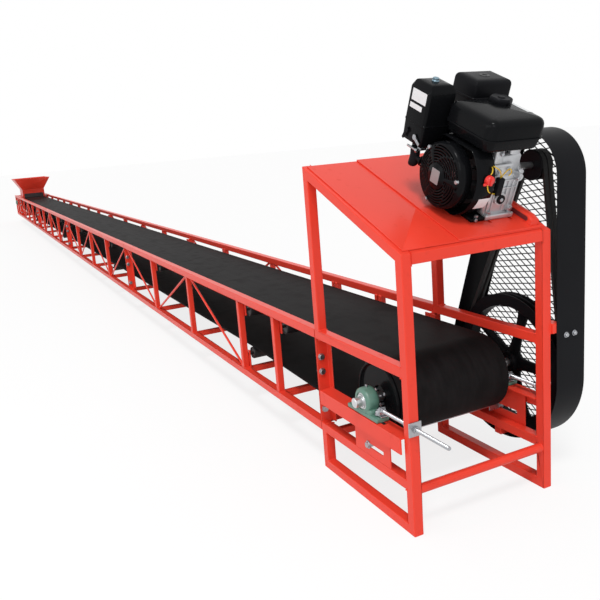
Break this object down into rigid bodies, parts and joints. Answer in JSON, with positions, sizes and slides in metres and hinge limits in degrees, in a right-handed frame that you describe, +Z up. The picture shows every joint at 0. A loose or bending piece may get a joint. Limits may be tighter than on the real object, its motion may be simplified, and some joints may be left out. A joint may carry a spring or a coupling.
{
  "type": "belt conveyor",
  "caption": "Long trussed belt conveyor for grain with a petrol engine on a sloped deck, a guarded V-belt drive and a loading hopper at its far end.",
  "frame": {"origin": "centre of the footprint of the object's bounding box, on the floor", "axes": "+X along the conveyor to its discharge end, +Y towards the belt guard, +Z up"},
  "size_m": [12.915, 0.663, 1.2336],
  "materials": {
    "red_paint": "gloss powder coat",
    "black_paint": "satin",
    "black_plastic": "gloss",
    "red_plastic": "matte",
    "rubber": "satin",
    "zinc": "zinc plated",
    "green_casting": "painted casting",
    "alloy": "as cast",
    "iron": "black"
  },
  "bodies": {
    "frame": {"air_cleaner": "black_plastic", "bearing_rail_left": "red_paint", "bearing_rail_right": "red_paint", "carburettor": "alloy", "conveyor_belt": "rubber", "crankcase": "alloy", "cylinder": "alloy", "deck_plate": "red_paint", "drive_frame": "red_paint", "engine_mount_plate": "red_paint", "fan_shroud": "black_paint", "fuel_tank": "black_plastic", "guard_band": "black_paint", "guard_mesh": "black_paint", "head_bearing_left": "green_casting", "head_bearing_right": "green_casting", "hopper": "red_paint", "hopper_skirt": "rubber", "muffler": "black_paint", "recoil_cover": "black_paint", "scraper_bar": "zinc", "scraper_plate_left": "red_paint", "scraper_plate_right": "red_paint", "tail_bearing_left": "green_casting", "tail_bearing_right": "green_casting", "tail_frame": "red_paint", "takeup_rod_left": "zinc", "takeup_rod_right": "zinc", "truss_segment_1": "red_paint", "truss_segment_2": "red_paint", "truss_segment_3": "red_paint", "truss_segment_4": "red_paint", "v_belt_inner": "rubber", "v_belt_outer": "rubber"},
    "head": {"head_drum": "iron", "head_shaft": "zinc", "head_pulley": "iron"},
    "tail": {"tail_drum": "iron", "tail_shaft": "zinc"},
    "crank": {"crankshaft": "zinc", "engine_pulley": "iron", "flywheel_fan": "iron"},
    "carrier_1": {"carrying_roller_1": "iron"},
    "carrier_2": {"carrying_roller_2": "iron"},
    "carrier_3": {"carrying_roller_3": "iron"},
    "carrier_4": {"carrying_roller_4": "iron"},
    "carrier_5": {"carrying_roller_5": "iron"},
    "carrier_6": {"carrying_roller_6": "iron"},
    "carrier_7": {"carrying_roller_7": "iron"},
    "carrier_8": {"carrying_roller_8": "iron"},
    "carrier_9": {"carrying_roller_9": "iron"},
    "returner_1": {"return_roller_1": "iron"},
    "returner_2": {"return_roller_2": "iron"},
    "returner_3": {"return_roller_3": "iron"},
    "returner_4": {"return_roller_4": "iron"},
    "grip": {"starter_grip": "black_plastic"},
    "throttle": {"throttle_lever": "zinc"},
    "choke": {"choke_lever": "black_plastic"},
    "cap": {"fuel_cap": "black_plastic"},
    "switch": {"engine_switch": "red_plastic"}
  },
  "joints": [
    {"name": "head_drive", "type": "hinge", "parent": "frame", "child": "head", "pos_m": [6.08, -0.0415, 0.3252], "axis": [0, 1, 0], "continuous": true},
    {"name": "tail_turn", "type": "hinge", "parent": "frame", "child": "tail", "pos_m": [-6.2075, -0.0415, 0.35535], "axis": [0, 1, 0], "continuous": true},
    {"name": "crank_turn", "type": "hinge", "parent": "frame", "child": "crank", "pos_m": [6.19233, -0.0415, 0.95648], "axis": [0, 1, 0], "continuous": true},
    {"name": "carrier_turn_1", "type": "hinge", "parent": "frame", "child": "carrier_1", "pos_m": [5.43625, -0.0415, 0.40523], "axis": [0, 1, 0], "continuous": true},
    {"name": "carrier_turn_2", "type": "hinge", "parent": "frame", "child": "carrier_2", "pos_m": [5.08, -0.0415, 0.40523], "axis": [0, 1, 0], "continuous": true},
    {"name": "carrier_turn_3", "type": "hinge", "parent": "frame", "child": "carrier_3", "pos_m": [3.655, -0.0415, 0.40523], "axis": [0, 1, 0], "continuous": true},
    {"name": "carrier_turn_4", "type": "hinge", "parent": "frame", "child": "carrier_4", "pos_m": [2.23, -0.0415, 0.40523], "axis": [0, 1, 0], "continuous": true},
    {"name": "carrier_turn_5", "type": "hinge", "parent": "frame", "child": "carrier_5", "pos_m": [0.805, -0.0415, 0.40523], "axis": [0, 1, 0], "continuous": true},
    {"name": "carrier_turn_6", "type": "hinge", "parent": "frame", "child": "carrier_6", "pos_m": [-0.62, -0.0415, 0.40523], "axis": [0, 1, 0], "continuous": true},
    {"name": "carrier_turn_7", "type": "hinge", "parent": "frame", "child": "carrier_7", "pos_m": [-2.045, -0.0415, 0.40523], "axis": [0, 1, 0], "continuous": true},
    {"name": "carrier_turn_8", "type": "hinge", "parent": "frame", "child": "carrier_8", "pos_m": [-3.47, -0.0415, 0.40523], "axis": [0, 1, 0], "continuous": true},
    {"name": "carrier_turn_9", "type": "hinge", "parent": "frame", "child": "carrier_9", "pos_m": [-4.895, -0.0415, 0.40523], "axis": [0, 1, 0], "continuous": true},
    {"name": "returner_turn_1", "type": "hinge", "parent": "frame", "child": "returner_1", "pos_m": [5.08, -0.0415, 0.2147], "axis": [0, 1, 0], "continuous": true},
    {"name": "returner_turn_2", "type": "hinge", "parent": "frame", "child": "returner_2", "pos_m": [2.23, -0.0415, 0.2147], "axis": [0, 1, 0], "continuous": true},
    {"name": "returner_turn_3", "type": "hinge", "parent": "frame", "child": "returner_3", "pos_m": [-0.62, -0.0415, 0.2147], "axis": [0, 1, 0], "continuous": true},
    {"name": "returner_turn_4", "type": "hinge", "parent": "frame", "child": "returner_4", "pos_m": [-3.47, -0.0415, 0.2147], "axis": [0, 1, 0], "continuous": true},
    {"name": "starter_pull", "type": "slide", "parent": "frame", "child": "grip", "axis": [-0.9212, 0, 0.3891], "range_m": [0, 0.5], "stiffness_N_per_m": 20, "springref_m": -0.1},
    {"name": "throttle_turn", "type": "hinge", "parent": "frame", "child": "throttle", "pos_m": [6.10931, -0.0918, 1.06319], "axis": [0, 1, 0], "range_deg": [-35, 15]},
    {"name": "choke_turn", "type": "hinge", "parent": "frame", "child": "choke", "pos_m": [6.07296, -0.0918, 1.08506], "axis": [0, 1, 0], "range_deg": [0, 60]},
    {"name": "cap_turn", "type": "hinge", "parent": "frame", "child": "cap", "pos_m": [6.23694, 0.0935, 1.11349], "axis": [0.3891, 0, 0.9212], "range_deg": [0, 90]},
    {"name": "switch_turn", "type": "hinge", "parent": "frame", "child": "switch", "pos_m": [6.30574, -0.0055, 0.94049], "axis": [0.9212, 0, -0.3891], "range_deg": [0, 40]}
  ],
  "couplings": [
    {"joint": "tail_turn", "follows": "head_drive", "ratio": 1.3759},
    {"joint": "crank_turn", "follows": "head_drive", "ratio": 5.557},
    {"joint": "carrier_turn_1", "follows": "head_drive", "ratio": 3.6413},
    {"joint": "carrier_turn_2", "follows": "head_drive", "ratio": 3.6413},
    {"joint": "carrier_turn_3", "follows": "head_drive", "ratio": 3.6413},
    {"joint": "carrier_turn_4", "follows": "head_drive", "ratio": 3.6413},
    {"joint": "carrier_turn_5", "follows": "head_drive", "ratio": 3.6413},
    {"joint": "carrier_turn_6", "follows": "head_drive", "ratio": 3.6413},
    {"joint": "carrier_turn_7", "follows": "head_drive", "ratio": 3.6413},
    {"joint": "carrier_turn_8", "follows": "head_drive", "ratio": 3.6413},
    {"joint": "carrier_turn_9", "follows": "head_drive", "ratio": 3.6413},
    {"joint": "returner_turn_1", "follows": "head_drive", "ratio": -4.6376},
    {"joint": "returner_turn_2", "follows": "head_drive", "ratio": -4.6376},
    {"joint": "returner_turn_3", "follows": "head_drive", "ratio": -4.6376},
    {"joint": "returner_turn_4", "follows": "head_drive", "ratio": -4.6376}
  ]
}
